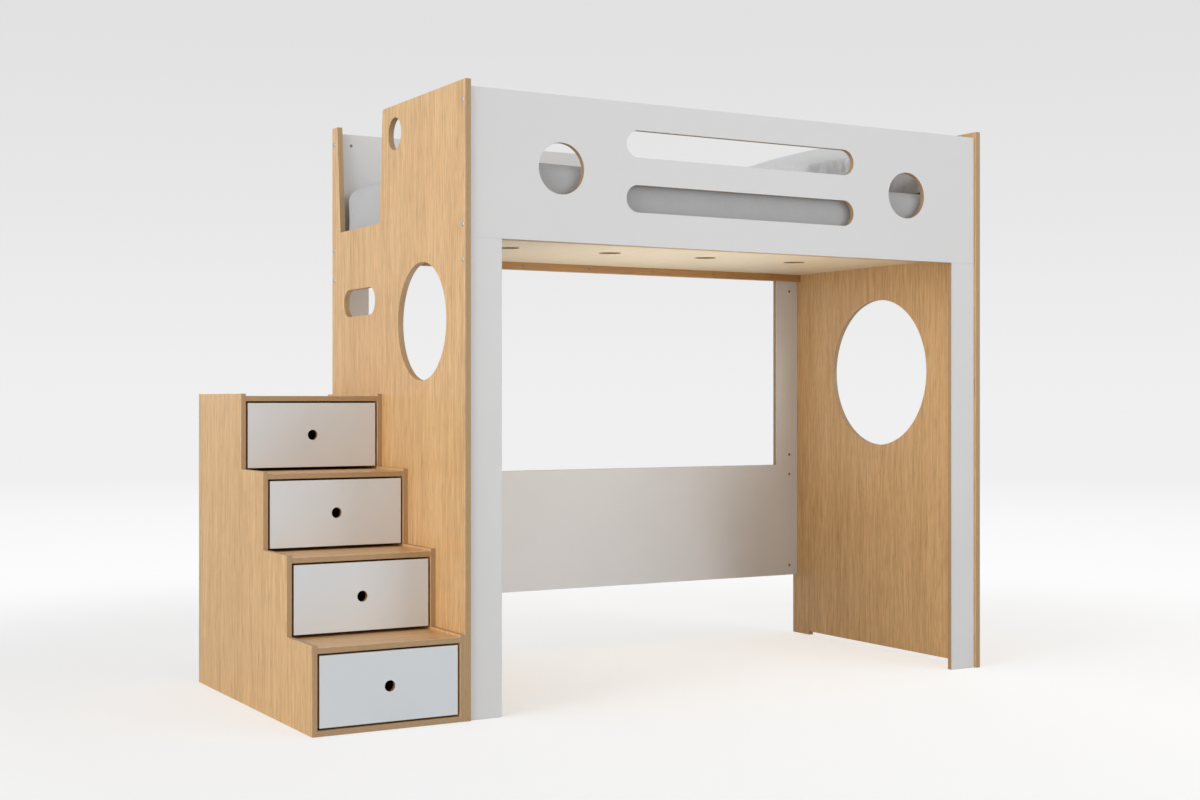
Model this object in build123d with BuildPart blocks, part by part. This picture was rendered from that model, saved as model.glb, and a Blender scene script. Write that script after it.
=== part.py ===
from build123d import *
import os

# Loft bed with a stair cabinet of four drawers.
# Millimetres. X runs along the bed from the stair end to the far end, Y from the front
# to the rear, Z up. The origin is on the floor, in the middle of the footprint.

# Mattress that the bed is built round, and the boards
mattress_length = 1889.0
mattress_width = 971.0
mattress_height = 189.0
mattress_end_room = 8.0
mattress_side_room = 8.0
ply = 19.0
eased_edge = 0.8
soft_gap = 0.3
cut_past = 1.0

# Bed frame
panel_height = 1829.0
panel_reveal = 8.0
guard_height = 431.0
guard_drop = 19.0
post_width = 102.0
lower_board_height = 432.0
lower_board_clearance = 229.0
foot_length = 105.0
foot_recess = 13.0
foot_round = 11.0
panel_round = 12.7

# Entry notch, portholes and hand slot of the end panels. The notch and the hand slot are
# measured from the rear edge, the peephole from the notch and the porthole from the front.
notch_depth = 355.5
notch_floor_width = 336.0
notch_splay = 28.5
notch_from_rear = 240.5
left_porthole_radius = 177.5
left_porthole_from_front = 305.5
left_porthole_height = 1149.5
peephole_radius = 50.5
peephole_from_notch = 95.5
peephole_drop = 89.0
hand_slot_length = 266.0
hand_slot_height = 88.5
hand_slot_drop = 241.5
right_porthole_radius = 266.5
right_porthole_height = 1016.0

# Openings of the front guard rail, measured from its lower edge and its ends
rail_hole_radius = 76.2
rail_hole_from_end = 298.5
rail_slot_length = 863.0
rail_slot_height = 82.5
rail_slot_margin = 101.0
rail_slot_spacing = 165.0

# Platform
ledger_height = 25.5
platform_board_count = 5
platform_seam = 1.0
platform_side_room = 1.5
vent_radius = 38.0

# Cap bolts and barrel nuts that hold the boards to the end panels
bolt_radius = 3.0
bolt_hole_radius = 3.3
bolt_head_radius = 7.0
bolt_head_height = 4.0
bolt_head_room = 0.4
bolt_from_board_edge = 37.5
left_post_bolt_drop = 64.0
right_post_bolt_drop = 39.0
post_bolt_rise = 39.0
front_post_bolt_rise = 120.0
nut_radius = 5.0
nut_length = 13.0
nut_room = 0.2
nut_from_panel = 38.0
bolt_past_nut = 8.0
bolt_end_room = 2.0

# Stair cabinet
stair_width = 457.5
stair_ply = 16.0
step_count = 4
step_going = 203.0
step_rise = 228.5
first_tread_height = 241.0
side_lip = 6.7
joining_bolt_head_radius = 8.0
joining_bolt_head_height = 3.0
joining_head_room = 0.2
joining_end_room = 1.0
low_joining_drop = 28.8
high_joining_drop = 38.4
sleeve_radius = 4.5

# Drawers
drawer_front_height = 197.5
drawer_top_gap = 5.5
drawer_side_gap = 6.2
drawer_front_inset = 1.0
finger_hole_radius = 15.8
drawer_ply = 12.0
drawer_rear_room = 19.0
drawer_box_height = 150.0
drawer_box_rise = 12.0
drawer_bottom_thickness = 6.0
drawer_groove_depth = 6.0
drawer_groove_rise = 8.0
drawer_groove_room = 0.2

# Drawer runners: a channel on the cabinet side and a smaller one inside it on the drawer
runner_space = 13.0
runner_end_room = 10.0
runner_set_back = 2.0
runner_height = 40.0
runner_wall = 1.5
runner_depth = 11.0
runner_play = 0.5

# Pillow
pillow_length = 590.0
pillow_width = 660.0
pillow_thickness = 180.0
pillow_tilt = 9.0
pillow_pinch = 26.0
pillow_end_room = 12.0
pillow_sink = 10.0

# Places that follow from the sizes above
inner_length = mattress_length + 2 * mattress_end_room
inner_width = mattress_width + 2 * mattress_side_room
bed_length = inner_length + 2 * ply
bed_depth = inner_width + 2 * (ply + panel_reveal)
overall_length = stair_width + bed_length
stair_x = -overall_length / 2
left_outer_x = stair_x + stair_width
left_inner_x = left_outer_x + ply
right_inner_x = left_inner_x + inner_length
right_outer_x = right_inner_x + ply
bed_middle_x = (left_inner_x + right_inner_x) / 2
front_y = -bed_depth / 2
rear_y = bed_depth / 2
front_board_y = front_y + panel_reveal
rear_board_y = rear_y - panel_reveal
front_inner_y = front_board_y + ply
rear_inner_y = rear_board_y - ply
guard_top_z = panel_height - guard_drop
guard_bottom_z = guard_top_z - guard_height
lower_board_top_z = lower_board_clearance + lower_board_height
platform_z = guard_bottom_z + ledger_height
mattress_z = platform_z + ply + soft_gap
mattress_top_z = mattress_z + mattress_height
tread_top = [first_tread_height + i * step_rise for i in range(step_count)]
tread_front_y = [front_y + i * step_going for i in range(step_count)]
stair_inner_x = (stair_x + stair_ply, left_outer_x - stair_ply)
stair_middle_x = (stair_x + left_outer_x) / 2
stair_inner_width = stair_width - 2 * stair_ply
stair_back_y = rear_y - stair_ply
last_step_depth = bed_depth - (step_count - 1) * step_going
drawer_box_length = last_step_depth - 2 * stair_ply - drawer_front_inset - drawer_rear_room
runner_length = drawer_box_length - runner_end_room

os.makedirs("parts", exist_ok=True)


def save(part, name):
    """Label one finished piece and write it to its own file."""
    part.part.label = name
    export_step(part.part, f"parts/{name}.step")


def upright(y):
    """The plane at one depth that faces the front, with X to the right and Z up."""
    return Plane(origin=(0, y, 0), x_dir=(1, 0, 0), z_dir=(0, -1, 0))


def crosswise(x):
    """The plane across the bed at one X, with Y to the right and Z up."""
    return Plane(origin=(x, 0, 0), x_dir=(0, 1, 0), z_dir=(1, 0, 0))


def inward(x, y, z):
    """A plane on an end panel's outer side that faces away from the bed."""
    out = -1 if x < bed_middle_x else 1
    return Plane(origin=(x, y, z), x_dir=(0, 1, 0), z_dir=(out, 0, 0))


# Heights of the bolts, per board. Each board is held by a bolt near its top and bottom.
guard_bolts = [guard_bottom_z + bolt_from_board_edge, guard_top_z - bolt_from_board_edge]
lower_bolts = [lower_board_clearance + bolt_from_board_edge,
               lower_board_top_z - bolt_from_board_edge]
front_middle_y = front_board_y + ply / 2
rear_middle_y = rear_board_y - ply / 2


def post_bolts(drop, bottom, rise):
    return [bottom + rise, guard_bottom_z - drop]


left_front_post_bolts = post_bolts(left_post_bolt_drop, 0, front_post_bolt_rise)
right_front_post_bolts = post_bolts(right_post_bolt_drop, 0, front_post_bolt_rise)
left_rear_post_bolts = post_bolts(left_post_bolt_drop, lower_board_top_z, post_bolt_rise)
right_rear_post_bolts = post_bolts(right_post_bolt_drop, lower_board_top_z, post_bolt_rise)

left_bolt_places = [(front_middle_y, z) for z in guard_bolts + left_front_post_bolts]
left_bolt_places += [(rear_middle_y, z) for z in guard_bolts + left_rear_post_bolts + lower_bolts]
right_bolt_places = [(front_middle_y, z) for z in guard_bolts + right_front_post_bolts]
right_bolt_places += [(rear_middle_y, z) for z in guard_bolts + right_rear_post_bolts + lower_bolts]
bolt_seat = bolt_head_height + bolt_head_room

# Bolts between the stair cabinet and the left end panel, clear of the drawer runners
joining_places = [(front_y + 1.5 * step_going, tread_top[0] - low_joining_drop),
                  (stair_back_y - step_going / 2, tread_top[0] - low_joining_drop),
                  (front_y + (step_count - 0.5) * step_going, tread_top[-1] - high_joining_drop),
                  (stair_back_y - step_going / 2, tread_top[-1] - high_joining_drop)]


def cut_board_bolts(x, middle_y, inner_y, heights):
    """Bolt holes from a board's end and nut holes from its inner face, on one end."""
    into = 1 if x < bed_middle_x else -1
    with Locations(*[inward(x, middle_y, z) for z in heights]):
        Hole(bolt_hole_radius, depth=nut_from_panel + bolt_past_nut)
    facing = 1 if inner_y > middle_y else -1
    nut_x = x + into * nut_from_panel
    nut_planes = [Plane(origin=(nut_x, inner_y, z), x_dir=(1, 0, 0), z_dir=(0, facing, 0))
                  for z in heights]
    with Locations(*nut_planes):
        Hole(nut_radius + nut_room, depth=nut_length + nut_room)


def cut_panel_bolts(outer_x, places):
    """Through holes with a seat for the bolt's head, in an end panel."""
    with Locations(*[inward(outer_x, y, z) for y, z in places]):
        CounterBoreHole(bolt_hole_radius, bolt_head_radius + bolt_head_room, bolt_seat, depth=ply)


# Left end panel, with the entry notch above the stairs, a porthole, a peephole and a
# hand slot. The notch leaves a narrow horn at the rear.
notch_floor_z = panel_height - notch_depth
notch_y = rear_y - notch_from_rear
notch_half_floor = notch_floor_width / 2
notch_half_top = notch_half_floor + notch_splay
foot_outline = [(front_y, 0), (front_y + foot_length, 0), (front_y + foot_length, foot_recess),
                (rear_y - foot_length, foot_recess), (rear_y - foot_length, 0), (rear_y, 0)]
notch_outline = [(rear_y, panel_height), (notch_y + notch_half_top, panel_height),
                 (notch_y + notch_half_floor, notch_floor_z),
                 (notch_y - notch_half_floor, notch_floor_z),
                 (notch_y - notch_half_top, panel_height), (front_y, panel_height)]
left_porthole_y = front_y + left_porthole_from_front
peephole_y = notch_y - notch_half_top - peephole_from_notch
peephole_z = panel_height - peephole_drop
hand_slot_z = notch_floor_z - hand_slot_drop

with BuildPart() as left_end_panel:
    with BuildSketch(crosswise(left_outer_x)) as left_outline:
        with BuildLine():
            Polyline(*foot_outline, *notch_outline, close=True)
        make_face()
        upper = left_outline.vertices().filter_by(lambda v: v.Z > notch_floor_z - cut_past)
        fillet(upper, panel_round)
        recess = left_outline.vertices().filter_by(lambda v: abs(v.Z - foot_recess) < 0.1)
        fillet(recess, min(foot_round, foot_recess - cut_past))
        with Locations((left_porthole_y, left_porthole_height)):
            Circle(left_porthole_radius, mode=Mode.SUBTRACT)
        with Locations((peephole_y, peephole_z)):
            Circle(peephole_radius, mode=Mode.SUBTRACT)
        with Locations((notch_y, hand_slot_z)):
            SlotOverall(hand_slot_length, hand_slot_height, mode=Mode.SUBTRACT)
    extrude(amount=ply)
    chamfer(left_end_panel.faces().filter_by(Axis.X).edges(), eased_edge)
    cut_panel_bolts(left_outer_x, left_bolt_places)
    with Locations(*[inward(left_outer_x, y, z) for y, z in joining_places]):
        Hole(sleeve_radius + nut_room, depth=ply)
    sleeve_seats = [Plane(origin=(left_inner_x, y, z), z_dir=(1, 0, 0)) for y, z in joining_places]
    with Locations(*sleeve_seats):
        Hole(joining_bolt_head_radius + bolt_head_room, depth=joining_bolt_head_height)
save(left_end_panel, "left_end_panel")

# Right end panel, whole at the top, with one large porthole in its middle
right_outline_points = foot_outline + [(rear_y, panel_height), (front_y, panel_height)]

with BuildPart() as right_end_panel:
    with BuildSketch(crosswise(right_inner_x)) as right_outline:
        with BuildLine():
            Polyline(*right_outline_points, close=True)
        make_face()
        fillet(right_outline.vertices().filter_by(lambda v: v.Z > panel_height - cut_past), panel_round)
        recess = right_outline.vertices().filter_by(lambda v: abs(v.Z - foot_recess) < 0.1)
        fillet(recess, min(foot_round, foot_recess - cut_past))
        with Locations(((front_y + rear_y) / 2, right_porthole_height)):
            Circle(right_porthole_radius, mode=Mode.SUBTRACT)
    extrude(amount=ply)
    chamfer(right_end_panel.faces().filter_by(Axis.X).edges(), eased_edge)
    cut_panel_bolts(right_outer_x, right_bolt_places)
save(right_end_panel, "right_end_panel")

# Front guard rail: two round holes at the middle height and two long slots between them
guard_middle_z = (guard_bottom_z + guard_top_z) / 2
lower_slot_z = guard_bottom_z + rail_slot_margin + rail_slot_height / 2
slot_heights = [lower_slot_z, lower_slot_z + rail_slot_spacing]
hole_offset = inner_length / 2 - rail_hole_from_end

with BuildPart() as front_guard_rail:
    with BuildSketch(upright(front_inner_y)):
        with Locations((bed_middle_x, guard_middle_z)):
            Rectangle(inner_length, guard_height)
        with Locations((bed_middle_x - hole_offset, guard_middle_z),
                       (bed_middle_x + hole_offset, guard_middle_z)):
            Circle(rail_hole_radius, mode=Mode.SUBTRACT)
        with Locations(*[(bed_middle_x, z) for z in slot_heights]):
            SlotOverall(rail_slot_length, rail_slot_height, mode=Mode.SUBTRACT)
    extrude(amount=ply)
    chamfer(front_guard_rail.faces().filter_by(Axis.Y).edges(), eased_edge)
    cut_board_bolts(left_inner_x, front_middle_y, front_inner_y, guard_bolts)
    cut_board_bolts(right_inner_x, front_middle_y, front_inner_y, guard_bolts)
save(front_guard_rail, "front_guard_rail")

# Rear guard board, plain, as high as the front rail
with BuildPart() as rear_guard_board:
    with BuildSketch(upright(rear_board_y)):
        with Locations((bed_middle_x, guard_middle_z)):
            Rectangle(inner_length, guard_height)
    extrude(amount=ply)
    chamfer(rear_guard_board.faces().filter_by(Axis.Y).edges(), eased_edge)
    cut_board_bolts(left_inner_x, rear_middle_y, rear_inner_y, guard_bolts)
    cut_board_bolts(right_inner_x, rear_middle_y, rear_inner_y, guard_bolts)
save(rear_guard_board, "rear_guard_board")

# Lower rear board, which ties the two end panels together above the floor
with BuildPart() as rear_lower_board:
    with BuildSketch(upright(rear_board_y)):
        with Locations((bed_middle_x, (lower_board_clearance + lower_board_top_z) / 2)):
            Rectangle(inner_length, lower_board_height)
    extrude(amount=ply)
    chamfer(rear_lower_board.faces().filter_by(Axis.Y).edges(), eased_edge)
    cut_board_bolts(left_inner_x, rear_middle_y, rear_inner_y, lower_bolts)
    cut_board_bolts(right_inner_x, rear_middle_y, rear_inner_y, lower_bolts)
save(rear_lower_board, "rear_lower_board")

# Four posts: flat boards that carry the guards. The front ones stand on the floor and
# the rear ones on the lower board.
left_post_x = left_inner_x + post_width / 2
right_post_x = right_inner_x - post_width / 2
post_rows = {
    "front_left_post": (left_inner_x, left_post_x, front_inner_y, 0, left_front_post_bolts),
    "front_right_post": (right_inner_x, right_post_x, front_inner_y, 0, right_front_post_bolts),
    "rear_left_post": (left_inner_x, left_post_x, rear_board_y, lower_board_top_z,
                       left_rear_post_bolts),
    "rear_right_post": (right_inner_x, right_post_x, rear_board_y, lower_board_top_z,
                        right_rear_post_bolts),
}
for post_name, (end_x, post_x, back_y, bottom_z, bolt_heights) in post_rows.items():
    middle_y = back_y - ply / 2
    inner_face_y = back_y if back_y == front_inner_y else back_y - ply
    with BuildPart() as post:
        with BuildSketch(upright(back_y)):
            with Locations((post_x, (bottom_z + guard_bottom_z) / 2)):
                Rectangle(post_width, guard_bottom_z - bottom_z)
        extrude(amount=ply)
        chamfer(post.faces().filter_by(Axis.Y).edges(), eased_edge)
        cut_board_bolts(end_x, middle_y, inner_face_y, bolt_heights)
    save(post, post_name)

# Ledgers along the foot of both guards, on which the platform boards lie
for ledger_name, ledger_y in (("front_ledger", front_inner_y + ply), ("rear_ledger", rear_inner_y)):
    with BuildPart() as ledger:
        with BuildSketch(upright(ledger_y)):
            with Locations((bed_middle_x, guard_bottom_z + ledger_height / 2)):
                Rectangle(inner_length, ledger_height)
        extrude(amount=ply)
    save(ledger, ledger_name)

# Platform boards side by side, with a round vent over the middle of each seam
board_width = (inner_length - (platform_board_count - 1) * platform_seam) / platform_board_count
board_pitch = board_width + platform_seam
seam_places = [left_inner_x + i * board_pitch - platform_seam / 2
               for i in range(1, platform_board_count)]
for i in range(platform_board_count):
    board_x = left_inner_x + board_width / 2 + i * board_pitch
    with BuildPart() as platform_board:
        with BuildSketch(Plane.XY.offset(platform_z)):
            with Locations((board_x, 0)):
                Rectangle(board_width, inner_width - 2 * platform_side_room)
            with Locations(*[(x, 0) for x in seam_places]):
                Circle(vent_radius, mode=Mode.SUBTRACT)
        extrude(amount=ply)
    save(platform_board, f"platform_board_{i + 1}")

# Cap bolts through the end panels, and the barrel nuts that they pull on
bolt_length = ply - bolt_seat + nut_from_panel + bolt_past_nut - bolt_end_room
head_planes = [inward(left_outer_x + bolt_seat, y, z) for y, z in left_bolt_places]
head_planes += [inward(right_outer_x - bolt_seat, y, z) for y, z in right_bolt_places]
with BuildPart() as end_panel_bolts:
    with Locations(*head_planes):
        Cylinder(bolt_head_radius, bolt_head_height,
                 align=(Align.CENTER, Align.CENTER, Align.MIN))
        Cylinder(bolt_radius, bolt_length, align=(Align.CENTER, Align.CENTER, Align.MAX))
save(end_panel_bolts, "end_panel_bolts")

nut_places = [(left_inner_x + nut_from_panel, y, z) for y, z in left_bolt_places]
nut_places += [(right_inner_x - nut_from_panel, y, z) for y, z in right_bolt_places]
nut_planes = []
for x, y, z in nut_places:
    facing = 1 if y < 0 else -1
    nut_planes.append(Plane(origin=(x, y + facing * ply / 2, z), x_dir=(1, 0, 0),
                            z_dir=(0, facing, 0)))
with BuildPart() as barrel_nuts:
    with Locations(*nut_planes):
        Cylinder(nut_radius, nut_length, align=(Align.CENTER, Align.CENTER, Align.MAX))
    with Locations(*[Plane(origin=place, z_dir=(1, 0, 0)) for place in nut_places]):
        Cylinder(bolt_hole_radius, 2 * (nut_radius + cut_past), mode=Mode.SUBTRACT)
save(barrel_nuts, "barrel_nuts")


def mattress_level(height, inset, corner):
    """One level of the mattress, drawn in by an inset on every side."""
    with BuildSketch(Plane.XY.offset(height)) as level:
        with Locations((bed_middle_x, 0)):
            RectangleRounded(mattress_length - 2 * inset, mattress_width - 2 * inset, corner)
    return level.sketch


# Mattress: full along its edge rolls, drawn in at mid height, with a crowned top.
# Each level is its height as a share, its inset and its corner radius.
mattress_levels = [(0.0, 24.0, 38.0), (0.05, 9.0, 50.0), (0.15, 0.0, 58.0), (0.5, 3.0, 56.0),
                   (0.80, 0.0, 58.0), (0.90, 5.0, 54.0), (0.965, 17.0, 46.0),
                   (0.985, 38.0, 60.0), (1.0, 120.0, 90.0)]
with BuildPart() as mattress:
    loft([mattress_level(mattress_z + share * mattress_height, inset, corner)
          for share, inset, corner in mattress_levels], ruled=True)
save(mattress, "mattress")

# Pillow: two puffed faces that meet in a seam, pinched at its four corners, leaning on
# the right end panel and pressed flat where it lies on the mattress
pillow_middle_x = right_inner_x - pillow_end_room - pillow_length / 2
pillow_middle_z = mattress_top_z + pillow_thickness / 2 - pillow_sink
pillow_plane = Plane(origin=(pillow_middle_x, 0, pillow_middle_z),
                     x_dir=Vector(1, 0, 0).rotate(Axis.Y, -pillow_tilt),
                     z_dir=Vector(0, 0, 1).rotate(Axis.Y, -pillow_tilt))
pillow_levels = [(0.0, 1.0, -1.0), (0.28, 0.975, -0.4), (0.55, 0.88, 0.3), (0.78, 0.70, 0.8),
                 (0.92, 0.46, 1.0), (1.0, 0.16, 0.5)]


def pillow_level(share, size, bow):
    """An outline of four arcs: bowed inwards at the seam, outwards on the faces."""
    half_length = pillow_length / 2 * size
    half_width = pillow_width / 2 * size
    out = pillow_pinch * bow
    height = pillow_thickness / 2 * share
    with BuildSketch(pillow_plane.offset(height)) as level:
        with BuildLine():
            ThreePointArc((half_length, -half_width), (half_length + out, 0),
                          (half_length, half_width))
            ThreePointArc((half_length, half_width), (0, half_width + out),
                          (-half_length, half_width))
            ThreePointArc((-half_length, half_width), (-half_length - out, 0),
                          (-half_length, -half_width))
            ThreePointArc((-half_length, -half_width), (0, -half_width - out),
                          (half_length, -half_width))
        make_face()
    return level.sketch


with BuildPart() as pillow:
    lower = [pillow_level(-share, size, bow) for share, size, bow in reversed(pillow_levels[1:])]
    upper = [pillow_level(share, size, bow) for share, size, bow in pillow_levels]
    loft(lower + upper, ruled=True)
    split(bisect_by=Plane.XY.offset(mattress_top_z + soft_gap), keep=Keep.TOP)
save(pillow, "pillow")

# Stair cabinet sides, cut in steps that stand a small lip above the treads
side_outline = [(front_y, 0)]
for i in range(step_count):
    side_outline.append((tread_front_y[i], tread_top[i] + side_lip))
    next_y = tread_front_y[i + 1] if i + 1 < step_count else rear_y
    side_outline.append((next_y, tread_top[i] + side_lip))
side_outline.append((rear_y, 0))

for side_name, side_x in (("stair_left_side", stair_x), ("stair_right_side", stair_inner_x[1])):
    with BuildPart() as stair_side:
        with BuildSketch(crosswise(side_x)):
            with BuildLine():
                Polyline(*side_outline, close=True)
            make_face()
        extrude(amount=stair_ply)
        chamfer(stair_side.faces().filter_by(Axis.X).edges(), eased_edge)
        if side_name == "stair_right_side":
            seats = [Plane(origin=(side_x, y, z), z_dir=(-1, 0, 0)) for y, z in joining_places]
            with Locations(*seats):
                CounterBoreHole(bolt_hole_radius, joining_bolt_head_radius + bolt_head_room,
                                joining_bolt_head_height, depth=stair_ply)
    save(stair_side, side_name)


def cabinet_board(bottom_z, near_y, far_y):
    """A level board between the two cabinet sides."""
    with BuildSketch(Plane.XY.offset(bottom_z)) as outline:
        with Locations((stair_middle_x, (near_y + far_y) / 2)):
            Rectangle(stair_inner_width, far_y - near_y)
    extrude(outline.sketch, amount=stair_ply)


# Treads, each one board that runs back over its drawer, and the floor of the cabinet
for i in range(step_count):
    far_y = rear_y if i == step_count - 1 else stair_back_y
    with BuildPart() as tread:
        cabinet_board(tread_top[i] - stair_ply, tread_front_y[i], far_y)
        chamfer(tread.faces().sort_by(Axis.Y)[0].edges().filter_by(Axis.X), eased_edge)
    save(tread, f"tread_{i + 1}")

with BuildPart() as stair_floor:
    cabinet_board(0, front_y, stair_back_y)
save(stair_floor, "stair_floor")

back_height = tread_top[-1] - stair_ply
with BuildPart() as stair_back:
    with BuildSketch(upright(rear_y)):
        with Locations((stair_middle_x, back_height / 2)):
            Rectangle(stair_inner_width, back_height)
    extrude(amount=stair_ply)
save(stair_back, "stair_back")

# Bolts and sleeve nuts that join the cabinet to the left end panel
grip = stair_ply - joining_bolt_head_height + ply - joining_bolt_head_height
with BuildPart() as stair_joining_bolts:
    seat_x = stair_inner_x[1] + joining_bolt_head_height
    with Locations(*[Plane(origin=(seat_x, y, z), z_dir=(-1, 0, 0)) for y, z in joining_places]):
        Cylinder(joining_bolt_head_radius, joining_bolt_head_height - joining_head_room,
                 align=(Align.CENTER, Align.CENTER, Align.MIN))
        Cylinder(bolt_radius, grip - joining_end_room, align=(Align.CENTER, Align.CENTER, Align.MAX))
save(stair_joining_bolts, "stair_joining_bolts")

with BuildPart() as stair_sleeve_nuts:
    seat_x = left_inner_x - joining_bolt_head_height
    sleeve_length = ply - joining_bolt_head_height - joining_end_room
    with Locations(*[Plane(origin=(seat_x, y, z), z_dir=(1, 0, 0)) for y, z in joining_places]):
        Cylinder(joining_bolt_head_radius, joining_bolt_head_height - joining_head_room,
                 align=(Align.CENTER, Align.CENTER, Align.MIN))
        Cylinder(sleeve_radius, sleeve_length, align=(Align.CENTER, Align.CENTER, Align.MAX))
        Cylinder(bolt_hole_radius, sleeve_length, mode=Mode.SUBTRACT,
                 align=(Align.CENTER, Align.CENTER, Align.MAX))
save(stair_sleeve_nuts, "stair_sleeve_nuts")

# Drawers, all alike: a front with a finger hole on a box of two sides, back and bottom
drawer_width = stair_inner_width - 2 * drawer_side_gap
box_width = stair_inner_width - 2 * runner_space
box_inner_width = box_width - 2 * drawer_ply
side_middle = (box_width - drawer_ply) / 2
groove_height = drawer_bottom_thickness + 2 * drawer_groove_room
runner_inner_height = runner_height - 2 * (runner_wall + runner_play)


def channel(outer_x, toward, middle_z, height, far_y):
    """A runner of channel section, with its web at outer_x and its legs turned one way."""
    with BuildSketch(upright(far_y)) as section:
        with Locations((outer_x + toward * runner_depth / 2, middle_z)):
            Rectangle(runner_depth, height)
        with Locations((outer_x + toward * (runner_depth + runner_wall) / 2, middle_z)):
            Rectangle(runner_depth - runner_wall, height - 2 * runner_wall, mode=Mode.SUBTRACT)
    extrude(section.sketch, amount=runner_length)


for i in range(step_count):
    number = i + 1
    front_top = tread_top[i] - stair_ply - drawer_top_gap
    front_bottom = front_top - drawer_front_height
    face_y = tread_front_y[i] + drawer_front_inset
    box_y = face_y + stair_ply
    box_end_y = box_y + drawer_box_length
    box_bottom = front_bottom + drawer_box_rise
    box_top = box_bottom + drawer_box_height
    groove_bottom = box_bottom + drawer_groove_rise
    bottom_z = groove_bottom + drawer_groove_room
    back_bottom = bottom_z + drawer_bottom_thickness

    with BuildPart() as drawer_front:
        with BuildSketch(upright(box_y)):
            with Locations((stair_middle_x, (front_top + front_bottom) / 2)):
                Rectangle(drawer_width, drawer_front_height)
                Circle(finger_hole_radius, mode=Mode.SUBTRACT)
        extrude(amount=stair_ply)
        chamfer(drawer_front.faces().sort_by(Axis.Y)[0].edges(), eased_edge)
    save(drawer_front, f"drawer_{number}_front")

    for hand, side in (("left", -1), ("right", 1)):
        side_x = stair_middle_x + side * side_middle
        groove_x = side_x - side * (drawer_ply - drawer_groove_depth) / 2
        with BuildPart() as drawer_side:
            with BuildSketch(upright(box_end_y)):
                with Locations((side_x, (box_bottom + box_top) / 2)):
                    Rectangle(drawer_ply, drawer_box_height)
                with Locations((groove_x, groove_bottom + groove_height / 2)):
                    Rectangle(drawer_groove_depth, groove_height, mode=Mode.SUBTRACT)
            extrude(amount=drawer_box_length)
        save(drawer_side, f"drawer_{number}_{hand}_side")

    with BuildPart() as drawer_back:
        with BuildSketch(upright(box_end_y)):
            with Locations((stair_middle_x, (back_bottom + box_top) / 2)):
                Rectangle(box_inner_width, box_top - back_bottom)
        extrude(amount=drawer_ply)
    save(drawer_back, f"drawer_{number}_back")

    with BuildPart() as drawer_bottom:
        bottom_width = box_inner_width + 2 * (drawer_groove_depth - drawer_groove_room)
        with BuildSketch(Plane.XY.offset(bottom_z)):
            with Locations((stair_middle_x, box_y + drawer_box_length / 2)):
                Rectangle(bottom_width, drawer_box_length)
        extrude(amount=drawer_bottom_thickness)
    save(drawer_bottom, f"drawer_{number}_bottom")

    runner_z = (box_bottom + box_top) / 2
    runner_end_y = box_y + runner_length + runner_set_back
    with BuildPart() as cabinet_runners:
        channel(stair_inner_x[0], 1, runner_z, runner_height, runner_end_y)
        channel(stair_inner_x[1], -1, runner_z, runner_height, runner_end_y)
    save(cabinet_runners, f"cabinet_runners_{number}")

    with BuildPart() as drawer_runners:
        channel(stair_middle_x - box_width / 2, -1, runner_z, runner_inner_height, runner_end_y)
        channel(stair_middle_x + box_width / 2, 1, runner_z, runner_inner_height, runner_end_y)
    save(drawer_runners, f"drawer_{number}_runners")
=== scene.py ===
import math
import bmesh
import bpy
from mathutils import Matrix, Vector, noise


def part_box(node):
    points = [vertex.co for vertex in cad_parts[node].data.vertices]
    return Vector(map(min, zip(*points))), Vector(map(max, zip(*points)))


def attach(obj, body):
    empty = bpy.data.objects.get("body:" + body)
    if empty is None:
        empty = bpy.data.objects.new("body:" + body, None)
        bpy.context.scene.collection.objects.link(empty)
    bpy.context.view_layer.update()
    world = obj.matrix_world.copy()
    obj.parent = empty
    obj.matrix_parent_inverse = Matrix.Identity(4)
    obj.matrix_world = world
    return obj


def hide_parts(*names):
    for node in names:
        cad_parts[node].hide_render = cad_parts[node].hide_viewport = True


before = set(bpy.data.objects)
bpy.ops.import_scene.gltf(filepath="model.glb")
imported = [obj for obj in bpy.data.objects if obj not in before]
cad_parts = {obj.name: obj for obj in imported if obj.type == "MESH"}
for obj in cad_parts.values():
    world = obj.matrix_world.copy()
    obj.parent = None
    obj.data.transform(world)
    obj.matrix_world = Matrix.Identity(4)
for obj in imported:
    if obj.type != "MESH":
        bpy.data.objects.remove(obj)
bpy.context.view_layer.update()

# The room: a seamless pale floor, a pale surround, and the photograph's view from the
# front left at a low eye height. The light is soft and comes mostly from the left front.
camera_place = (-2.8017, -4.8514, 0.9140)
camera_turn = math.radians(-30.01)
camera_lens = 50.475
floor_reach = 40.0
floor_fade = (1.6, 4.2)
# painted light: the floor's camera-only lift grows from left to right, so the floor is paler
# towards the right
floor_lift_x = (-1.8, 1.0)
floor_lift = (0.42, 0.55)
floor_colour = (0.575, 0.60, 0.63, 1)
floor_lift_colour = (1.035, 1.0, 0.96, 1)
floor_far = (4.0, 15.0)
floor_far_white = (0.975, 0.871)
sky_stops = ((0.5, 0.871), (0.56, 0.84), (0.62, 0.80), (0.72, 0.755))
sky_colour = (0.997, 1.0, 1.003, 1)
sky_strength = (0.76, 0.40)
key_place = (-8.0, -2.2, 2.6)
key_target = (-0.5, 0.0, 0.9)
key_size = 5.0
key_power = 332.0
front_place = (5.0, -8.0, 2.6)
front_target = (0.2, 0.0, 0.9)
front_size = 5.0
front_power = 180.0
bounce_place = (0.25, -0.1, 0.02)
bounce_target = (0.25, -0.1, 1.0)
bounce_size = 1.2
bounce_power = 6.2
bounce_spread = 75
bounce_colour = (0.88, 0.97, 1.1)


def place(tree, kind, inputs=None, **settings):
    """One node: its settings, and its sockets filled from a value or another socket."""
    made = tree.nodes.new(kind)
    for name, value in settings.items():
        setattr(made, name, value)
    for key, value in (inputs or {}).items():
        if isinstance(value, bpy.types.NodeSocket):
            tree.links.new(value, made.inputs[key])
        else:
            made.inputs[key].default_value = value
    return made


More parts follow.
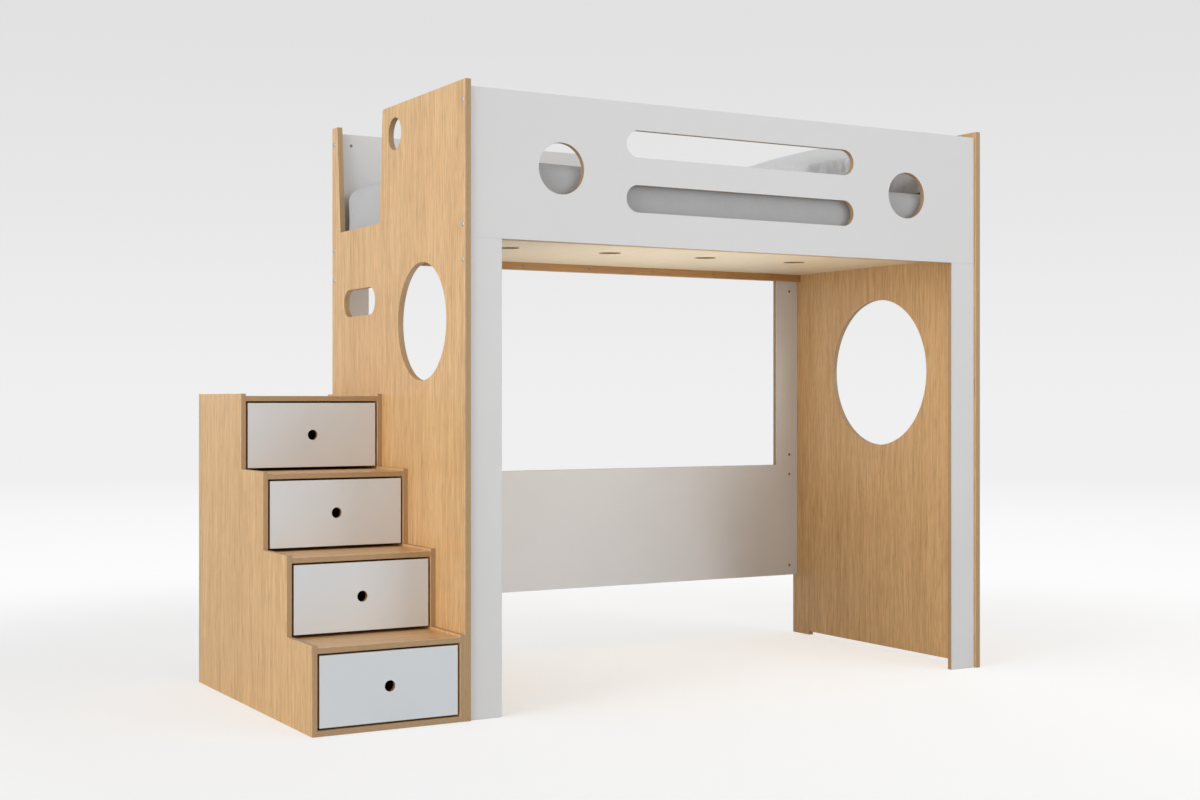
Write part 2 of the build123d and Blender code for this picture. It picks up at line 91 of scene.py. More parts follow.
def sums(tree, operation, first, second=0.0, third=None, clamp=False):
    """A Math node's result."""
    values = {0: first, 1: second}
    if third is not None:
        values[2] = third
    return place(tree, "ShaderNodeMath", values, operation=operation, use_clamp=clamp).outputs[0]


def between(tree, value, low, high, bottom=0.0, top=1.0):
    """A value carried over from one range to another."""
    return place(tree, "ShaderNodeMapRange", {"Value": value, "From Min": low, "From Max": high,
                                              "To Min": bottom, "To Max": top}).outputs["Result"]


def in_scene(name, data):
    """An object in the scene that holds a mesh, a curve, a lamp or a camera."""
    made = bpy.data.objects.new(name, data)
    bpy.context.collection.objects.link(made)
    return made


camera_data = bpy.data.cameras.new("view")
camera_data.lens = camera_lens
camera_data.sensor_width = 36.0
camera_data.clip_end = 200.0
camera = in_scene("view", camera_data)
camera.location = camera_place
camera.rotation_euler = (math.radians(90), 0, camera_turn)
bpy.context.scene.camera = camera
bpy.context.scene.view_settings.view_transform = "Standard"


def soft_lamp(name, spot, target, size, power, spread=180, tone=(1, 1, 1)):
    """A square lamp that faces a point."""
    data = bpy.data.lights.new(name, "AREA")
    data.shape = "SQUARE"
    data.size = size
    data.energy = power
    data.spread = math.radians(spread)
    data.color = tone
    lamp = in_scene(name, data)
    lamp.location = spot
    lamp.rotation_euler = (Vector(target) - Vector(spot)).to_track_quat("-Z", "Y").to_euler()
    lamp.visible_camera = False


soft_lamp("key_lamp", key_place, key_target, key_size, key_power)
soft_lamp("front_lamp", front_place, front_target, front_size, front_power)
soft_lamp("floor_bounce", bounce_place, bounce_target, bounce_size, bounce_power, bounce_spread,
          bounce_colour)

world = bpy.data.worlds.new("surround")
world.use_nodes = True
bpy.context.scene.world = world
sky = world.node_tree
sky.nodes.clear()
direction = place(sky, "ShaderNodeTexCoord").outputs["Generated"]
height = place(sky, "ShaderNodeSeparateXYZ", {0: direction}).outputs["Z"]
seen = place(sky, "ShaderNodeValToRGB", {"Fac": sums(sky, "MULTIPLY_ADD", height, 1.0, 0.5)})
for stop, shade in sky_stops:
    knob = seen.color_ramp.elements.new(stop)
    knob.color = (shade, shade, shade, 1)
seen.color_ramp.elements.remove(seen.color_ramp.elements[0])
seen.color_ramp.elements.remove(seen.color_ramp.elements[-1])
lit = between(sky, height, 0.0, 1.0, *sky_strength)
light_path = place(sky, "ShaderNodeLightPath").outputs
watched = sums(sky, "MAXIMUM", light_path["Is Camera Ray"], light_path["Is Transmission Ray"])
watched = sums(sky, "MAXIMUM", watched, light_path["Is Glossy Ray"])
seen_sky = place(sky, "ShaderNodeBackground", {"Color": seen.outputs["Color"], "Strength": 1.0})
lit_sky = place(sky, "ShaderNodeBackground", {"Color": sky_colour, "Strength": lit})
both_skies = place(sky, "ShaderNodeMixShader", {0: watched, 1: lit_sky.outputs[0],
                                                2: seen_sky.outputs[0]})
place(sky, "ShaderNodeOutputWorld", {"Surface": both_skies.outputs[0]})

floor_mesh = bpy.data.meshes.new("floor")
floor_corners = [(-1, -1), (1, -1), (1, 1), (-1, 1)]
floor_mesh.from_pydata([(x * floor_reach, y * floor_reach, 0) for x, y in floor_corners],
                       [], [(0, 1, 2, 3)])
floor = in_scene("floor", floor_mesh)
floor_paint = bpy.data.materials.new("floor_paint")
floor_paint.use_nodes = True
tree = floor_paint.node_tree
tree.nodes.clear()
spot = place(tree, "ShaderNodeTexCoord").outputs["Object"]
away = place(tree, "ShaderNodeVectorMath", {0: spot}, operation="LENGTH").outputs["Value"]
fade = place(tree, "ShaderNodeMapRange", {"Value": away, "From Min": floor_fade[0],
                                          "From Max": floor_fade[1]},
             interpolation_type="SMOOTHERSTEP").outputs["Result"]
watched = place(tree, "ShaderNodeLightPath").outputs["Is Camera Ray"]
matt = place(tree, "ShaderNodeBsdfDiffuse", {"Color": floor_colour})
# painted light: the camera sees the floor lifted more towards the right
across = place(tree, "ShaderNodeSeparateXYZ", {0: spot}).outputs["X"]
pale = between(tree, across, *floor_lift_x, *floor_lift)
lift = place(tree, "ShaderNodeEmission", {"Color": floor_lift_colour,
                                          "Strength": sums(tree, "MULTIPLY", watched, pale)})
near = place(tree, "ShaderNodeAddShader", {0: matt.outputs[0], 1: lift.outputs[0]})
far = place(tree, "ShaderNodeEmission", {
    "Color": (1, 1, 1, 1), "Strength": between(tree, away, *floor_far, *floor_far_white)})
ground = place(tree, "ShaderNodeMixShader", {0: sums(tree, "MULTIPLY", fade, watched),
                                             1: near.outputs[0], 2: far.outputs[0]})
place(tree, "ShaderNodeOutputMaterial", {"Surface": ground.outputs[0]})
floor_mesh.materials.append(floor_paint)

# End panels: oak-veneered plywood, 19 mm, with the veneer's grain running up. Their cut
# edges and the rims of the portholes show the plies. They stand on the floor on two feet.
oak_light = (0.800, 0.503, 0.225, 1)
oak_dark = (0.500, 0.262, 0.092, 1)
oak_edge_light = (0.560, 0.370, 0.195, 1)
oak_edge_dark = (0.360, 0.220, 0.105, 1)
pore_colour = (0.34, 0.18, 0.07, 1)
# noise cells in a metre across, through and along the grain, and how much each noise counts
fine_cells = (260, 260, 7)
figure_cells = (85, 85, 2.2)
band_cells = (11, 11, 0.45)
pore_cells = (620, 620, 16)
fine_share = 0.58
figure_share = 0.28
band_share = 0.14
grain_middle = 0.68
number, colour, arrow = "NodeSocketFloat", "NodeSocketColor", "NodeSocketVector"


def shared_effect(name, inputs, outputs):
    """An empty shader group with named sockets, and the sockets inside it."""
    group = bpy.data.node_groups.new(name, "ShaderNodeTree")
    for label, kind in inputs:
        group.interface.new_socket(label, in_out="INPUT", socket_type=kind)
    for label, kind in outputs:
        group.interface.new_socket(label, in_out="OUTPUT", socket_type=kind)
    ends = group.nodes.new("NodeGroupInput"), group.nodes.new("NodeGroupOutput")
    return group, ends[0].outputs, ends[1].inputs


def tint(tree, amount, first, second, way="MIX"):
    """Two colours mixed."""
    return place(tree, "ShaderNodeMix", {0: amount, 6: first, 7: second}, data_type="RGBA",
                 blend_type=way).outputs[2]


def stretch(tree, vector, scale):
    """A vector with each of its parts multiplied."""
    return place(tree, "ShaderNodeVectorMath", {0: vector, 1: scale},
                 operation="MULTIPLY").outputs[0]


def speckle(tree, vector, detail=2.0, rough=0.5):
    """Plain noise at one cell for each unit of the vector."""
    return place(tree, "ShaderNodeTexNoise", {"Vector": vector, "Scale": 1.0, "Detail": detail,
                                              "Roughness": rough}).outputs["Fac"]


# straight grain that runs along the vector's Z: streaks, wider figure, bands and short pores
grain, given, result = shared_effect(
    "straight_grain", [("Vector", arrow), ("Light", colour), ("Dark", colour),
                       ("Streaks", number), ("Pores", number)],
    [("Color", colour), ("Height", number), ("Roughness", number)])
sway = place(grain, "ShaderNodeTexNoise", {"Vector": stretch(grain, given["Vector"], (3, 3, 0.9)),
                                           "Scale": 1.0, "Detail": 1.0}).outputs["Color"]
along = place(grain, "ShaderNodeVectorMath", {0: given["Vector"],
                                              1: stretch(grain, sway, (0.014, 0.014, 0.0))},
              operation="ADD").outputs[0]
fine = speckle(grain, stretch(grain, along, fine_cells), 3.0, 0.62)
figure = speckle(grain, stretch(grain, along, figure_cells), 2.0, 0.55)
bands = speckle(grain, stretch(grain, along, band_cells), 1.0)
pores = speckle(grain, stretch(grain, along, pore_cells))
mixed = sums(grain, "MULTIPLY", fine, fine_share)
mixed = sums(grain, "MULTIPLY_ADD", figure, figure_share, mixed)
mixed = sums(grain, "MULTIPLY_ADD", bands, band_share, mixed)
mixed = sums(grain, "SUBTRACT", mixed, 0.5)
mixed = sums(grain, "MULTIPLY_ADD", mixed, given["Streaks"], grain_middle, clamp=True)
pore = sums(grain, "MULTIPLY", between(grain, pores, 0.55, 0.66), given["Pores"])
wood = tint(grain, mixed, given["Dark"], given["Light"])
grain.links.new(tint(grain, pore, wood, pore_colour), result["Color"])
grain.links.new(sums(grain, "MULTIPLY_ADD", pore, -0.6, fine), result["Height"])
grain.links.new(sums(grain, "MULTIPLY_ADD", pore, 0.18, 0.40), result["Roughness"])

# the cut edge of plywood, whose plies are stacked along the vector's X
plies, given, result = shared_effect(
    "ply_edge", [("Vector", arrow), ("Light", colour), ("Dark", colour)],
    [("Color", colour), ("Height", number), ("Roughness", number)])
stack = place(plies, "ShaderNodeSeparateXYZ", {0: given["Vector"]}).outputs["X"]
ply_pitch = 0.00146
odd = sums(plies, "PINGPONG", stack, ply_pitch)
odd = between(plies, odd, ply_pitch * 0.42, ply_pitch * 0.58)
fleck = speckle(plies, stretch(plies, given["Vector"], (500, 60, 60)), 3.0, 0.6)
tone = sums(plies, "MULTIPLY_ADD", odd, 0.42, sums(plies, "MULTIPLY_ADD", fleck, 0.9, -0.16))
plies.links.new(tint(plies, sums(plies, "MINIMUM", tone, 1.0, clamp=True), given["Dark"],
                     given["Light"]), result["Color"])
plies.links.new(sums(plies, "MULTIPLY_ADD", odd, 0.5, fleck), result["Height"])
plies.links.new(sums(plies, "MULTIPLY_ADD", odd, 0.10, 0.50), result["Roughness"])

# a mask along sharp edges: bare wood is painted lighter there, a painted highlight and wear; paint
# is mixed towards the bare edge's colour there, as wear
wear_and_highlight, given, result = shared_effect("edge_wear_and_highlight", [("Width", number)], [("Mask", number)])
rounded = place(wear_and_highlight, "ShaderNodeBevel", {"Radius": given["Width"]}, samples=3).outputs[0]
flat = place(wear_and_highlight, "ShaderNodeNewGeometry").outputs["True Normal"]
facing = place(wear_and_highlight, "ShaderNodeVectorMath", {0: rounded, 1: flat},
               operation="DOT_PRODUCT").outputs["Value"]
wear_and_highlight.links.new(between(wear_and_highlight, facing, 0.995, 0.80), result["Mask"])


def turned(tree, order):
    """Object coordinates with their axes in another order."""
    parts = place(tree, "ShaderNodeSeparateXYZ",
                  {0: place(tree, "ShaderNodeTexCoord").outputs["Object"]}).outputs
    return place(tree, "ShaderNodeCombineXYZ",
                 {i: parts[axis] for i, axis in enumerate(order)}).outputs[0]


def effect(tree, group, **inputs):
    """The outputs of a shared effect that is placed with its own values."""
    return place(tree, "ShaderNodeGroup", inputs, node_tree=group).outputs


def new_finish(name):
    """A material, its tree and its Principled BSDF."""
    material = bpy.data.materials.new(name)
    material.use_nodes = True
    return material, material.node_tree, material.node_tree.nodes["Principled BSDF"]


wear_width = 0.002
# bare wood's sharp edges mix towards its light colour, a painted highlight and wear; paint's edges
# mix towards the bare edge's colour, as wear
oak_highlight_and_wear = 0.30
paint_wear = 0.08
paint_shade = 0.975
face_limit = 0.6


def plywood(name, through, run, light, dark, streaks=3.6, pores=0.55, paint=None,
            edge=(oak_edge_light, oak_edge_dark), coat=0.25):
    """Plywood whose faces look along one axis and whose grain runs along another."""
    material, tree, skin = new_finish(name)
    third = next(axis for axis in "XYZ" if axis not in (through, run))
    worn_and_highlit = effect(tree, wear_and_highlight, Width=wear_width)["Mask"]
    if paint is None:
        face = effect(tree, grain, Vector=turned(tree, (third, through, run)), Light=light,
                      Dark=dark, Streaks=streaks, Pores=pores)
        face_colour, face_height, face_rough = face["Color"], face["Height"], face["Roughness"]
        # bare wood's sharp edges painted lighter: a painted highlight, and wear
        face_colour = tint(tree, sums(tree, "MULTIPLY", worn_and_highlit, oak_highlight_and_wear), face_colour, light)
    else:
        coords = place(tree, "ShaderNodeTexCoord").outputs["Object"]
        cloud = speckle(tree, stretch(tree, coords, (5, 5, 5)), 3.0)
        peel = speckle(tree, stretch(tree, coords, (420, 420, 420)))
        cloud = between(tree, cloud, 0.3, 0.7)
        face_colour = tint(tree, cloud, [c * paint_shade for c in paint[:3]] + [1], paint)
        face_colour = tint(tree, sums(tree, "MULTIPLY", worn_and_highlit, paint_wear), face_colour, edge[0])
        face_height = peel
        face_rough = sums(tree, "MULTIPLY_ADD", cloud, 0.06, 0.42)
    rim = effect(tree, plies, Vector=turned(tree, (through, third, run)), Light=edge[0],
                 Dark=edge[1])
    normal = place(tree, "ShaderNodeTexCoord").outputs["Normal"]
    along_face = place(tree, "ShaderNodeSeparateXYZ", {0: normal}).outputs[through]
    on_face = sums(tree, "GREATER_THAN", sums(tree, "ABSOLUTE", along_face), face_limit)
    tree.links.new(tint(tree, on_face, rim["Color"], face_colour), skin.inputs["Base Color"])
    rough = place(tree, "ShaderNodeMix", {0: on_face, 2: rim["Roughness"], 3: face_rough},
                  data_type="FLOAT").outputs[0]
    tree.links.new(rough, skin.inputs["Roughness"])
    relief = place(tree, "ShaderNodeMix", {0: on_face, 2: rim["Height"], 3: face_height},
                   data_type="FLOAT").outputs[0]
    bump = place(tree, "ShaderNodeBump", {"Strength": 0.16, "Distance": 0.0004, "Height": relief})
    tree.links.new(bump.outputs[0], skin.inputs["Normal"])
    skin.inputs["Coat Weight"].default_value = coat
    skin.inputs["Coat Roughness"].default_value = 0.32
    return material


def finish(material, *names):
    """Gives CAD nodes their material."""
    for name in names:
        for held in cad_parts[name].material_slots:
            held.material = material


oak_upright = plywood("oak_upright", "X", "Z", oak_light, oak_dark)
finish(oak_upright, "left_end_panel", "right_end_panel")

# Guards, posts and lower board: plywood painted satin white on both faces, their cut edges
# left as wood. Barrel nuts and long cap bolts from the end panels hold them.
white_paint = (0.780, 0.770, 0.758, 1)
white_boards = plywood("white_boards", "Y", "X", oak_light, oak_dark, paint=white_paint, coat=0.15)
finish(white_boards, "front_guard_rail", "rear_guard_board", "rear_lower_board", "front_left_post",
       "front_right_post", "rear_left_post", "rear_right_post")

# Ledgers: solid oak strips screwed along the guards, darker than the veneer. The platform's
# five boards of bare birch plywood lie on them.
ledger_light = (0.56, 0.30, 0.105, 1)
ledger_dark = (0.38, 0.185, 0.055, 1)
birch_light = (0.78, 0.62, 0.40, 1)
birch_dark = (0.64, 0.47, 0.27, 1)
ledger_oak = plywood("ledger_oak", "Y", "X", ledger_light, ledger_dark,
                     edge=(ledger_light, ledger_dark))
finish(ledger_oak, "front_ledger", "rear_ledger")
birch_platform = plywood("birch_platform", "Z", "Y", birch_light, birch_dark, streaks=1.6,
                         pores=0.15, coat=0.1)
finish(birch_platform, *[f"platform_board_{i}" for i in range(1, 6)])

# Stair cabinet: oak-veneered plywood, 16 mm. The two sides' grain runs up, the treads'
# runs across the stair, and every front edge shows the plies.
finish(oak_upright, "stair_left_side", "stair_right_side")
oak_tread = plywood("oak_tread", "Z", "X", oak_light, oak_dark)
finish(oak_tread, "tread_1", "tread_2", "tread_3", "tread_4", "stair_floor")
oak_back = plywood("oak_back", "Y", "Z", oak_light, oak_dark)
finish(oak_back, "stair_back")

# Drawers: painted plywood fronts with bare edges on boxes of birch plywood. Each box slides on
# a pair of zinc-plated runners, and a round hole in its front is its handle.
drawers = range(1, 5)
metal_shade = 0.82
birch_side = plywood("birch_side", "X", "Y", birch_light, birch_dark, streaks=1.6, pores=0.15)
birch_back = plywood("birch_back", "Y", "X", birch_light, birch_dark, streaks=1.6, pores=0.15)
birch_bottom = plywood("birch_bottom", "Z", "X", birch_light, birch_dark, streaks=1.6, pores=0.15)


def metal(name, shade, rough, brush):
    """Plated steel with a faint cloud and fine scratches."""
    material, tree, skin = new_finish(name)
    coords = place(tree, "ShaderNodeTexCoord").outputs["Object"]
    cloud = speckle(tree, stretch(tree, coords, (60, 60, 60)), 3.0)
    lines = speckle(tree, stretch(tree, coords, brush))
    darker = [c * metal_shade for c in shade[:3]] + [1]
    tree.links.new(tint(tree, cloud, darker, shade), skin.inputs["Base Color"])
    tree.links.new(sums(tree, "MULTIPLY_ADD", lines, 0.16, rough), skin.inputs["Roughness"])
    bump = place(tree, "ShaderNodeBump", {"Strength": 0.10, "Distance": 0.0002, "Height": lines})
    tree.links.new(bump.outputs[0], skin.inputs["Normal"])
    skin.inputs["Metallic"].default_value = 1.0
    return material


runner_zinc = metal("runner_zinc", (0.62, 0.63, 0.64, 1), 0.30, (900, 25, 900))
front_paint = (0.752, 0.772, 0.785, 1)
white_fronts = plywood("white_fronts", "Y", "X", oak_light, oak_dark, paint=front_paint, coat=0.2)
for k in drawers:
    finish(white_fronts, f"drawer_{k}_front")
    finish(birch_side, f"drawer_{k}_left_side", f"drawer_{k}_right_side")
    finish(birch_back, f"drawer_{k}_back")
    finish(birch_bottom, f"drawer_{k}_bottom")
    finish(runner_zinc, f"drawer_{k}_runners", f"cabinet_runners_{k}")

# Mattress: a foam block in a woven grey cover, full along its edges, with a low crown on
# top and one sewn seam round its foot. It lies on the platform between the guards.
mattress_low, mattress_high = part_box("mattress")
mattress_corner = 0.050
mattress_edge = 0.034
mattress_crown = 0.006
mattress_swell = 0.013
mattress_middle_swell = 0.008
mattress_swell_x = -0.56
mattress_swell_reach = 0.24
mattress_pull = 0.004
mattress_seam = 0.030
mattress_groove_width = 0.0045
mattress_groove_depth = 0.0025
mattress_waves = ((3.1, 7.3, 0.0030), (11.0, 2.1, 0.0010))
mattress_cells = (110, 62, 18)
mattress_grey = (0.52, 0.52, 0.525, 1)
# cells crowd towards the edges by a power, and each vertex slides on a line to the slab's core
slab_crowding = 1.35
slab_core = 0.110
slab_core_height = 0.2
slab_steps = 12
slab_step_share = 0.9


def puffed_slab(low, high, corner, edge, cells):
    """A closed grid over a box, drawn on to a slab with round corners and round edges."""
    centre, half = (low + high) / 2, (high - low) / 2
    shape = bmesh.new()
    grids = {}

    def at(index):
        """The shared vertex at a whole-number place on the box's surface."""
        if index not in grids:
            share = [2 * i / n - 1 for i, n in zip(index, cells)]
            share = [math.copysign(1 - (1 - abs(s)) ** slab_crowding, s) for s in share]
            grids[index] = shape.verts.new([s * h for s, h in zip(share, half)])
        return grids[index]

    for axis in range(3):
        first, second = [a for a in range(3) if a != axis]
        for end in (0, cells[axis]):
            for i in range(cells[first]):
                for j in range(cells[second]):
                    ring = []
                    for di, dj in ((0, 0), (1, 0), (1, 1), (0, 1)):
                        index = [0, 0, 0]
                        index[axis], index[first], index[second] = end, i + di, j + dj
                        ring.append(at(tuple(index)))
                    shape.faces.new(ring)

    def outside(p):
        """How far a point is outside the rounded slab."""
        qx, qy = abs(p.x) - half.x + corner, abs(p.y) - half.y + corner
        plan = math.hypot(max(qx, 0), max(qy, 0)) + min(max(qx, qy), 0) - corner
        wx, wz = plan + edge, abs(p.z) - half.z + edge
        return math.hypot(max(wx, 0), max(wz, 0)) + min(max(wx, wz), 0) - edge

    for vert in shape.verts:
        p = vert.co.copy()
        core = Vector((max(min(p.x, half.x - slab_core), slab_core - half.x),
                       max(min(p.y, half.y - slab_core), slab_core - half.y),
                       p.z * slab_core_height))
        inward = (core - p).normalized()
        for _ in range(slab_steps):
            p += inward * outside(p) * slab_step_share
        vert.co = p
    bmesh.ops.recalc_face_normals(shape, faces=shape.faces)
    return shape, centre, half


def as_piece(shape, name, material):
    """A finished mesh as an object at the origin, smooth all over."""
    mesh = bpy.data.meshes.new(name)
    shape.to_mesh(mesh)
    shape.free()
    mesh.polygons.foreach_set("use_smooth", [True] * len(mesh.polygons))
    mesh.materials.append(material)
    return in_scene(name, mesh)


# a plain weave of threads along the vector's X and Y, with slubs, a soft cloud and painted shade
# in the hollows between threads
full_turn = 2 * math.pi
weave, given, result = shared_effect(
    "plain_weave", [("Vector", arrow), ("Threads", number), ("Color", colour)],
    [("Color", colour), ("Height", number), ("Roughness", number)])
parts = place(weave, "ShaderNodeSeparateXYZ", {0: given["Vector"]}).outputs


def thread(axis, other, flip):
    """Threads along one axis that pass over and under those along the other."""
    turn = sums(weave, "MULTIPLY", parts[axis], given["Threads"])
    cross = sums(weave, "MULTIPLY", parts[other], given["Threads"])
    rise = sums(weave, "SINE", sums(weave, "MULTIPLY", turn, full_turn))
    over = sums(weave, "SINE", sums(weave, "MULTIPLY_ADD", cross, full_turn / 2, flip))
    return sums(weave, "MULTIPLY", rise, sums(weave, "ABSOLUTE", over))


warp = thread("X", "Y", 0.0)
weft = thread("Y", "X", full_turn / 4)
cloth_height = sums(weave, "MAXIMUM", warp, weft)
slub = speckle(weave, stretch(weave, given["Vector"], (26, 420, 1)), 2.0)
slub = sums(weave, "MAXIMUM", slub, speckle(weave, stretch(weave, given["Vector"], (420, 26, 1))))
soft_cloud = speckle(weave, stretch(weave, given["Vector"], (9, 9, 1)), 3.0)
shade = sums(weave, "MULTIPLY_ADD", slub, 0.26, 0.80)
shade = sums(weave, "MULTIPLY_ADD", soft_cloud, 0.10, shade)
# painted shade: the threads' high points a little lighter, the hollows between them a little
# darker
shade = sums(weave, "MULTIPLY_ADD", cloth_height, 0.035, shade)
shaded = place(weave, "ShaderNodeVectorMath", {0: given["Color"], "Scale": shade},
               operation="SCALE").outputs[0]
weave.links.new(shaded, result["Color"])
weave.links.new(sums(weave, "MULTIPLY_ADD", slub, 0.8, cloth_height), result["Height"])
weave.links.new(sums(weave, "MULTIPLY_ADD", soft_cloud, 0.08, 0.82), result["Roughness"])


def woven(name, shade, threads):
    """Cloth that follows the piece's own UV map, in metres."""
    material, tree, skin = new_finish(name)
    flat = place(tree, "ShaderNodeUVMap", uv_map="cloth").outputs[0]
    made = effect(tree, weave, Vector=flat, Threads=threads, Color=shade)
    tree.links.new(made["Color"], skin.inputs["Base Color"])
    tree.links.new(made["Roughness"], skin.inputs["Roughness"])
    bump = place(tree, "ShaderNodeBump", {"Strength": 0.35, "Distance": 0.0006,
                                          "Height": made["Height"]})
    tree.links.new(bump.outputs[0], skin.inputs["Normal"])
    skin.inputs["Sheen Weight"].default_value = 0.25
    skin.inputs["Sheen Roughness"].default_value = 0.5
    return material


def lay_cloth(mesh):
    """A UV map in metres: each face takes the two axes that it faces least."""
    sheet = mesh.uv_layers.new(name="cloth")
    for face in mesh.polygons:
        facing = [abs(c) for c in face.normal]
        drop = facing.index(max(facing))
        kept = [a for a in range(3) if a != drop]
        for corner in face.loop_indices:
            co = mesh.vertices[mesh.loops[corner].vertex_index].co
            sheet.data[corner].uv = (co[kept[0]], co[kept[1]])


mattress_cloth = woven("mattress_cloth", mattress_grey, 900.0)
shape, centre, half = puffed_slab(mattress_low, mattress_high, mattress_corner, mattress_edge,
                                  mattress_cells)
seam_height = mattress_seam - half.z
for vert in shape.verts:
    p = vert.co
    u, v, w = p.x / half.x, p.y / half.y, p.z / half.z
    side = max(0.0, 1 - abs(w)) ** 0.5
    out = Vector((u ** 9, v ** 9, 0))
    p -= out * mattress_pull * side
    groove = math.exp(-((p.z - seam_height) / mattress_groove_width) ** 2)
    p -= out * mattress_groove_depth * groove
    wave = sum(noise.noise(Vector((p.x * pitch, p.y * pitch, layer))) * reach
               for pitch, layer, reach in mattress_waves)
    if p.z > 0:
        crown = mattress_crown * (1 - u ** 4) * (1 - v ** 4)
        from_swell = (p.x + centre.x - mattress_swell_x) / mattress_swell_reach
        swelling = mattress_swell * (1 - v ** 8) + mattress_middle_swell * (1 - v ** 2)
        crown += swelling * math.exp(-from_swell ** 2)
        p.z += (crown + wave) * min(1.0, (p.z / half.z) ** 2) - mattress_crown * 0.7
    vert.co = p + centre
mattress = as_piece(shape, "mattress_cover", mattress_cloth)
lay_cloth(mattress.data)
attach(mattress, "bed")
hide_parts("mattress")

# Pillow: two sheets of pale cotton sewn round a soft filling, with a corded seam. It is
# pushed against the right end panel, so it is thicker there, and it is flat where it lies.
pillow_length = 0.590
pillow_width = 0.700
pillow_seam = (0.052, 0.016)
pillow_rise = (0.122, 0.050, 0.030)
pillow_drop = 0.055
pillow_pinch = 0.060
pillow_fullness = 0.45
pillow_half_seam = 0.003
pillow_press = 0.010
pillow_gap = 0.012
panel_gap = 0.004
mattress_gap = 0.001
rest_height = mattress_high.z + mattress_gap
panel_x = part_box("right_end_panel")[0].x
pillow_place = Vector((panel_x - pillow_gap - pillow_length / 2, 0.0, mattress_high.z))
pillow_grey = (0.90, 0.90, 0.905, 1)
pillow_cells = 56
pillow_voxel = 0.006
pillow_travel = 0.020


def seam_level(u):
    """The seam's height over the mattress, at a share of the pillow's half length."""
    return pillow_seam[0] + pillow_seam[1] * u


shape = bmesh.new()
for side in (1, -1):
    rows = []
    for i in range(pillow_cells + 1):
        row = []
        for j in range(pillow_cells + 1):
            u = -math.cos(math.pi * i / pillow_cells)
            v = -math.cos(math.pi * j / pillow_cells)
            x = u * (1 - pillow_pinch * (1 - v * v)) * pillow_length / 2
            y = v * (1 - pillow_pinch * (1 - u * u)) * pillow_width / 2
            puff = ((1 - u ** 2) * (1 - v ** 2)) ** pillow_fullness
            rise = pillow_rise[0] + pillow_rise[1] * u + pillow_rise[2] * u ** 2
            z = side * pillow_half_seam + (rise if side == 1 else -pillow_drop) * puff
            row.append(shape.verts.new((x, y, seam_level(u) + z)))
        rows.append(row)
    for i in range(pillow_cells):
        for j in range(pillow_cells):
            ring = [rows[i][j], rows[i + 1][j], rows[i + 1][j + 1], rows[i][j + 1]]
            shape.faces.new(ring if side == 1 else ring[::-1])
    rim = ([rows[i][0] for i in range(pillow_cells)]
           + [rows[pillow_cells][j] for j in range(pillow_cells)]
           + [rows[i][pillow_cells] for i in range(pillow_cells, 0, -1)]
           + [rows[0][j] for j in range(pillow_cells, 0, -1)])
    if side == 1:
        upper_rim = rim
for i in range(len(rim)):
    k = (i + 1) % len(rim)
    shape.faces.new((upper_rim[i], upper_rim[k], rim[k], rim[i]))
bmesh.ops.recalc_face_normals(shape, faces=shape.faces)
pillow_cloth = woven("pillow_cloth", pillow_grey, 1100.0)
pillow = as_piece(shape, "pillow_case", pillow_cloth)


def final_mesh(piece):
    """A plain mesh of a piece as its modifiers leave it."""
    return bpy.data.meshes.new_from_object(piece.evaluated_get(
        bpy.context.evaluated_depsgraph_get()))


cloth_steps = 20


def swell(piece, voxel, travel, pressure=4.0):
    """Remeshes a soft piece and blows it up a little as cloth, so that it wrinkles."""
    remesh = piece.modifiers.new("even", "REMESH")
    remesh.mode = "VOXEL"
    remesh.voxel_size = voxel
    even = final_mesh(piece)
    piece.modifiers.remove(remesh)
    piece.data = even
    start = [v.co.copy() for v in even.vertices]
    cloth = piece.modifiers.new("air", "CLOTH")
    cloth.settings.quality = 4
    cloth.settings.mass = 0.25
    cloth.settings.tension_stiffness = 12
    cloth.settings.compression_stiffness = 12
    cloth.settings.bending_stiffness = 0.25
    cloth.settings.shrink_min = -0.05
    cloth.settings.use_pressure = True
    cloth.settings.uniform_pressure_force = pressure
    cloth.settings.effector_weights.gravity = 0
    for moment in range(1, cloth_steps + 1):
        bpy.context.scene.frame_set(moment)
    blown = piece.evaluated_get(bpy.context.evaluated_depsgraph_get()).data
    moved = [v.co.copy() for v in blown.vertices]
    piece.modifiers.remove(cloth)
    bpy.context.scene.frame_set(1)
    for vert, old, new in zip(even.vertices, start, moved):
        step = new - old
        if step.length > travel:
            step *= travel / step.length
        vert.co = old + step


swell(pillow, pillow_voxel, pillow_travel)
smooth = pillow.modifiers.new("smooth", "SMOOTH")
smooth.factor = 0.5
smooth.iterations = 2
relaxed = final_mesh(pillow)
pillow.modifiers.remove(smooth)
pillow.data = relaxed

# the seam's path: the outermost point of the case in each direction round its middle
sectors = 220
seam_band = 0.03
seam = [None] * sectors
for vert in relaxed.vertices:
    angle = math.atan2(vert.co.y / pillow_width, vert.co.x / pillow_length)
    k = int((angle / full_turn + 0.5) * sectors) % sectors
    reach = vert.co.xy.length
    near = abs(vert.co.z - seam_level(2 * vert.co.x / pillow_length)) < seam_band
    if near and (seam[k] is None or reach > seam[k].xy.length):
        seam[k] = vert.co.copy()
seam = [p for p in seam if p is not None]
seam = [(seam[i - 1] + seam[i] * 2 + seam[(i + 1) % len(seam)]) / 4 for i in range(len(seam))]


def settle(co):
    """A point of the pillow in its place, pressed on the mattress and the panel."""
    p = co + pillow_place
    sunk = rest_height + pillow_press - p.z
    if sunk > 0:
        p.z = rest_height + pillow_press * math.exp(-sunk / pillow_press)
    p.x = min(p.x, panel_x - panel_gap)
    return p


for vert in relaxed.vertices:
    vert.co = settle(vert.co)
lay_cloth(relaxed)
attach(pillow, "bed")
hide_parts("pillow")

